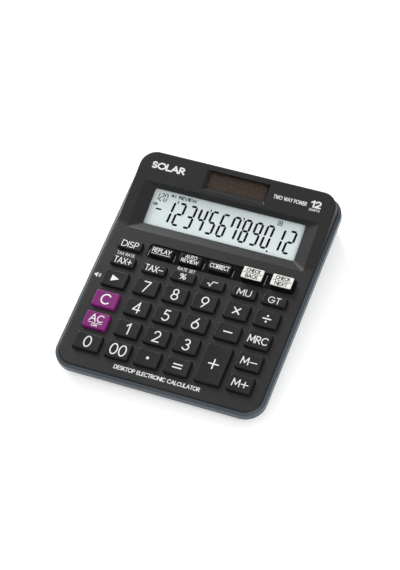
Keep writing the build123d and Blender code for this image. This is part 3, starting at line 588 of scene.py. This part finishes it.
INK_WHITE = moulded("white_ink", (0.62, 0.63, 0.62), (0.66, 0.67, 0.66), (0.66, 0.66, 0.66),
                    0.5, edge=0.0)
RIB_LINE_GREY = moulded("pale_rib_lines", (0.22, 0.22, 0.22), (0.25, 0.25, 0.25), (0.25, 0.25, 0.25),
                   0.5, edge=0.0)
INK_DARK = moulded("dark_ink", (0.008, 0.008, 0.008), (0.01, 0.01, 0.01), (0.01, 0.01, 0.01),
                   0.5, edge=0.0, specular=0.1)
LCD_BLACK = moulded("switched_crystal", (0.004, 0.004, 0.005), (0.006, 0.006, 0.007),
                    (0.005, 0.005, 0.006), 0.5, depth=0.0, edge=0.0, specular=0.05)
print("inks:", INK_WHITE.name, RIB_LINE_GREY.name, INK_DARK.name, LCD_BLACK.name)

# %% [markdown]
# ### Key legends
#
# Figures fill most of a key, and words are smaller, so each legend has its own height and pen. Legends
# are centred on their keys: the key's extent in the panel's frame gives that centre. Signs such as the
# division sign, the root and the arrow aren't letters, so they are drawn from lines and discs.

# %% Signs
SIGN_PEN = 0.75              # mm


def lines_sign(*runs):
    """A sign made of straight pen runs, in millimetres round its own centre."""
    return [piece for (x0, y0), (x1, y1) in runs for piece in line(x0, y0, x1, y1, SIGN_PEN)]


SIGNS = {
    "times": lines_sign(((-2.1, -2.1), (2.1, 2.1)), ((-2.1, 2.1), (2.1, -2.1))),
    "divide": lines_sign(((-2.6, 0.0), (2.6, 0.0))) + disc(0.0, 1.9, 0.6) + disc(0.0, -1.9, 0.6),
    "minus": lines_sign(((-2.7, 0.0), (2.7, 0.0))),
    "equals": lines_sign(((-2.8, 1.05), (2.8, 1.05)), ((-2.8, -1.05), (2.8, -1.05))),
    "plus": lines_sign(((-3.2, 0.0), (3.2, 0.0)), ((0.0, -3.2), (0.0, 3.2))),
    "point": disc(0.0, 0.0, 0.85),
    "root": ribbon([(-2.9, -0.2), (-2.3, 0.15), (-1.2, -1.6), (0.0, 1.5), (2.6, 1.5)], 0.5),
    "arrow": [[Vector((-2.2, -2.1)), Vector((2.5, 0.0)), Vector((-2.2, 2.1))]],
}
print("signs:", ", ".join(SIGNS))

# %% Legends on the keys
FIGURE_HEIGHT, FIGURE_PEN = 7.3, 0.7
LEGENDS = {
    "key_00": word("00", 0.0, 0.0, FIGURE_HEIGHT, FIGURE_PEN),
    "key_point": SIGNS["point"],
    "key_equals": SIGNS["equals"],
    "key_plus": SIGNS["plus"],
    "key_minus": SIGNS["minus"],
    "key_multiply": SIGNS["times"],
    "key_divide": SIGNS["divide"],
    "key_root": SIGNS["root"],
    "key_delete": SIGNS["arrow"],
    "key_memory_plus": word("M+", 0.0, 0.0, 4.8, 0.57, 9.6),
    "key_memory_minus": word("M-", 0.0, 0.0, 4.8, 0.57, 9.6),
    "key_memory_recall": word("MRC", 0.0, 0.0, 4.8, 0.57, 11.8),
    "key_all_clear": word("AC", 0.0, 1.2, 4.9, 0.62) + line(-4.3, -2.0, 4.3, -2.0, 0.3)
    + word("ON", 0.0, -3.4, 1.7, 0.32, 3.6),
    "key_clear": word("C", 0.0, 0.0, 7.0, 0.85),
    "key_tax_plus": word("TAX+", 0.0, 0.0, 4.2, 0.48, 11.0),
    "key_tax_minus": word("TAX-", 0.0, 0.0, 4.2, 0.48, 11.0),
    "key_percent": word("%", 0.0, 0.0, 3.9, 0.5, 4.0),
    "key_markup": word("MU", 0.0, 0.0, 4.2, 0.48, 8.4),
    "key_grand_total": word("GT", 0.0, 0.0, 4.2, 0.48, 7.4),
    "key_display": word("DISP", 0.0, 0.0, 4.2, 0.48, 10.4),
    "key_replay": word("REPLAY", 0.0, 0.5, 3.0, 0.38, 11.4) + line(-5.8, -1.9, 5.8, -1.9, 0.3),
    "key_auto": word("AUTO", 0.0, 1.45, 2.4, 0.33, 7.2) + word("REVIEW", 0.0, -1.35, 2.4, 0.33, 10.6),
    "key_correct": word("CORRECT", 0.0, 0.0, 3.0, 0.38, 11.8),
    "key_check_back": word("CHECK", 0.0, 1.9, 2.4, 0.42, 8.6) + line(-5.5, 0.0, 5.5, 0.0, 0.34)
    + word("BACK", 0.0, -1.9, 2.4, 0.42, 7.6),
    "key_check_next": word("CHECK", 0.0, 1.9, 2.4, 0.42, 8.6) + line(-5.5, 0.0, 5.5, 0.0, 0.34)
    + word("NEXT", 0.0, -1.9, 2.4, 0.42, 7.6),
}
for figure in "0123456789":
    LEGENDS["key_" + figure] = word(figure, 0.0, 0.0, FIGURE_HEIGHT, FIGURE_PEN)

FACE_WIDTH, FACE_DEPTH, FACE_R = 12.3, 7.3, 0.7          # pale face on top of the two check keys
PALE_FACE = line(-FACE_WIDTH / 2, 0.0, FACE_WIDTH / 2, 0.0, FACE_DEPTH - 2 * FACE_R)
PALE_FACE += line(FACE_R - FACE_WIDTH / 2, 0.0, FACE_WIDTH / 2 - FACE_R, 0.0, FACE_DEPTH)
for x in (FACE_R - FACE_WIDTH / 2, FACE_WIDTH / 2 - FACE_R):
    for y in (FACE_R - FACE_DEPTH / 2, FACE_DEPTH / 2 - FACE_R):
        PALE_FACE += disc(x, y, FACE_R)

for key in key_names:
    low, high = extent(key, PANEL)
    middle = (low + high) / 2 / MM
    legend = shifted(LEGENDS[key], middle.x, middle.y)
    if "check" in key:
        face = shifted(PALE_FACE, middle.x, middle.y)
        lay_ink("face_" + key[4:], face, PANEL, key, KEY_PALE, up=FACE_UP)
        lay_ink("legend_" + key[4:], legend, PANEL, key, INK_DARK, up=FACE_UP + INK_UP)
    else:
        lay_ink("legend_" + key[4:], legend, PANEL, key, INK_WHITE)
print("legends:", len(LEGENDS))

# %% [markdown]
# ### Words on the case
#
# A few words and a loudspeaker sign are printed on the cover itself. They say only what such a calculator
# always says: how it is powered, how many digits it shows, and what its tax keys set. The panel's frame
# places those round the keys, and the display's frame places those above the display. Thin pale grey lines
# along the ribs of the glossy keys' band are laid on in the same way.

# %% Print on the cover, and pale lines on the key band
def loudspeaker(x, y, size):
    """A cone with two sound waves, as wide as size."""
    cone = [(-0.50, -0.16), (-0.30, -0.16), (-0.04, -0.42), (-0.04, 0.42), (-0.30, 0.16), (-0.50, 0.16)]
    shapes = [[Vector(point) * size for point in cone]]
    for radius in (0.24, 0.44):
        wave = arc(-0.04, 0.0, radius * size, radius * size, -48, 48)
        shapes += smooth_ribbon(wave, 0.1 * size, 0.0)
    return shifted(shapes, x, y)


RIB_FRONT, RIB_PEN = 80.4, 0.34
RIB_BACKS = ((-35.1, 85.4), (-19.05, 85.4), (-0.9, 85.4), (17.0, 85.4), (36.4, 88.2))   # x and rear end
rules = []
for x, back in RIB_BACKS:
    rules += line(x, RIB_FRONT, x, back, RIB_PEN)
lay_ink("band_lines", rules, PANEL, "key_band", RIB_LINE_GREY)

PRINTS = (
    ("print_tax_rate", PANEL, word("TAX RATE", -47.4, 78.2, 2.1, 0.28, 11.0)),
    ("print_rate_set", PANEL, word("RATE SET", -9.5, 78.1, 2.1, 0.28, 10.7)),
    ("print_loudspeaker", PANEL, loudspeaker(-57.9, 60.9, 4.0)),
    ("print_front_line", PANEL, word("DESKTOP ELECTRONIC CALCULATOR", -0.3, 8.0, 2.6, 0.42, 51.9)),
    ("print_solar", DISPLAY, word("SOLAR", -42.7, 39.2, 4.4, 0.95, 20.8)),
    ("print_two_way_power", DISPLAY, word("TWO WAY POWER", 33.6, 37.9, 2.5, 0.34, 20.4)),
    ("print_twelve", DISPLAY, word("12", 49.1, 39.0, 4.4, 0.9, 6.4)),
    ("print_digits", DISPLAY, word("DIGITS", 49.1, 35.4, 1.4, 0.24, 6.4)),
)
for name, space, shapes in PRINTS:
    lay_ink(name, shapes, space, "top_cover", INK_WHITE)
print("prints on the cover:", len(PRINTS), "and rules on the band:", len(RIB_BACKS))

# %% [markdown]
# ## The display
#
# A figure on a liquid crystal display is seven bars with pointed ends, leaning a little to the right.
# Bars are dark where they are switched on. Here they are thin solids on the glass under its clear cover,
# each bar an outline with six corners, so that the narrow gaps between bars stay open as on the real one.

# %% Seven-bar figures
BAR_GAP = 0.12               # mm between the points of two bars
LEAN = math.tan(math.radians(4.0))
BARS_OF = {"0": "abcdef", "1": "bc", "2": "abged", "3": "abgcd", "4": "fgbc", "5": "afgcd", "6": "afgedc",
           "7": "fabc", "8": "abcdefg", "9": "abcdfg"}


def bar(x0, y0, x1, y1, thick):
    """A bar with pointed ends from one joint to the next."""
    start, end = Vector((x0, y0)), Vector((x1, y1))
    along = (end - start).normalized()
    side = Vector((-along.y, along.x)) * thick / 2
    start, end = start + along * BAR_GAP, end - along * BAR_GAP
    shoulder = along * thick / 2
    return [start, start + shoulder - side, end - shoulder - side, end,
            end - shoulder + side, start + shoulder + side]


def bar_figure(figure, x, y, width, height, thick):
    """One figure with its lower left corner at (x, y)."""
    left, right = thick / 2, width - thick / 2
    low, middle, high = thick / 2, height / 2, height - thick / 2
    runs = {"a": (left, high, right, high), "b": (right, high, right, middle),
            "c": (right, middle, right, low), "d": (left, low, right, low), "e": (left, middle, left, low),
            "f": (left, high, left, middle), "g": (left, middle, right, middle)}
    shapes = [bar(*runs[name], thick) for name in BARS_OF[figure]]
    return [[Vector((x + p.x + p.y * LEAN, y + p.y)) for p in shape] for shape in shapes]


# %% Figures and signs on the display
FIGURE_X, FIGURE_V, PITCH = -38.1, 6.7, 6.86
CELL_WIDTH, CELL_HEIGHT, BAR_THICK = 5.1, 15.2, 1.4
GLASS_INK_UP = 0.02 * MM     # the window lies close above the glass
BOX_PEN = 0.42
NUMBER = "123456789012"

shapes = []
for place, figure in enumerate(NUMBER):
    shapes += bar_figure(figure, FIGURE_X + place * PITCH, FIGURE_V, CELL_WIDTH, CELL_HEIGHT, BAR_THICK)
for place in (0, 3, 6):
    x = FIGURE_X + place * PITCH + CELL_WIDTH + 1.3
    shapes += [[Vector((x, 22.2)), Vector((x + 0.7, 19.8)), Vector((x + 1.0, 22.2))]]
point_x = FIGURE_X + 9 * PITCH + CELL_WIDTH + 0.5
shapes += disc(point_x, FIGURE_V - 0.9, 0.6)
shapes += line(-43.0, 14.6, -39.6, 14.6, 1.0)
lay_ink("display_number", shapes, DISPLAY, "lcd_panel", LCD_BLACK, up=GLASS_INK_UP)

small = []
for place, figure in enumerate("120"):
    small += bar_figure(figure, -45.8 + place * 2.6, 19.6, 2.1, 5.4, 0.55)
small += word("OK", -44.3, 17.4, 1.8, 0.42, 3.2)
small += loudspeaker(-35.0, 24.6, 3.0)
small += word("REVIEW", -26.2, 24.6, 2.1, 0.44, 11.4)
box_x, box_y = 31.4, 24.3
for x0, y0, x1, y1 in ((-1.2, -1.2, 1.2, -1.2), (-1.2, 1.2, 1.2, 1.2), (-1.2, -1.35, -1.2, 1.35),
                       (1.2, -1.35, 1.2, 1.35), (-0.8, 0.0, 0.8, 0.0), (0.0, -0.8, 0.0, 0.8)):
    small += line(box_x + x0, box_y + y0, box_x + x1, box_y + y1, BOX_PEN)
lay_ink("display_signs", small, DISPLAY, "lcd_panel", LCD_BLACK, up=GLASS_INK_UP)
print("figures on the display:", len(NUMBER))

# %% [markdown]
# ## Floor and light
#
# A catalogue shot stands on white paper, lit so brightly that the paper has almost no shadow. The floor is
# a large plain sheet. One big soft light behind and to the left makes the front facet of the display's
# recess the palest and the rear one the darkest, a second one in front keeps the near walls readable, and
# a white surround fills the rest.

# %% Floor
def area_light(name, place, size, watts):
    """A square soft light aimed at the calculator."""
    data = bpy.data.lights.new(name, "AREA")
    data.size = size
    data.energy = watts
    lamp = bpy.data.objects.new(name, data)
    lamp.location = place
    lamp.rotation_euler = (AIM - Vector(place)).to_track_quat("-Z", "Y").to_euler()
    bpy.context.scene.collection.objects.link(lamp)


HALF = 4.0                   # metres, half the paper's side
PAPER_DROP = 0.05 * MM       # the feet don't share a plane with the paper
PAPER_GLOW = 0.25
floor_mesh = bpy.data.meshes.new("paper_floor")
paper_corners = [(-HALF, -HALF, 0), (HALF, -HALF, 0), (HALF, HALF, 0), (-HALF, HALF, 0)]
floor_mesh.from_pydata(paper_corners, [], [(0, 1, 2, 3)])
floor = bpy.data.objects.new("paper_floor", floor_mesh)
bpy.context.scene.collection.objects.link(floor)
floor.location.z = -PAPER_DROP
paper = moulded("white_paper", (0.88, 0.88, 0.88), (0.9, 0.9, 0.9), (0.9, 0.9, 0.9), 0.9,
                grains=800.0, depth=0.2, edge=0.0, specular=0.1)
glow = paper.node_tree.nodes["Principled BSDF"]
glow.inputs["Emission Color"].default_value = (1.0, 1.0, 1.0, 1.0)
glow.inputs["Emission Strength"].default_value = PAPER_GLOW
floor_mesh.materials.append(paper)

# %% Lights and surround
SURROUND = 0.70

area_light("key_light", (-1.1, 1.15, 0.75), 0.9, 36.0)
area_light("front_light", (0.9, -0.6, 0.8), 0.9, 9.0)
world = bpy.data.worlds.new("white_surround")
world.use_nodes = True
background = world.node_tree.nodes["Background"]
background.inputs["Color"].default_value = (1.0, 1.0, 1.0, 1.0)
background.inputs["Strength"].default_value = SURROUND
bpy.context.scene.world = world
bpy.context.scene.view_settings.view_transform = "Standard"
print("lights:", len(bpy.data.lights))
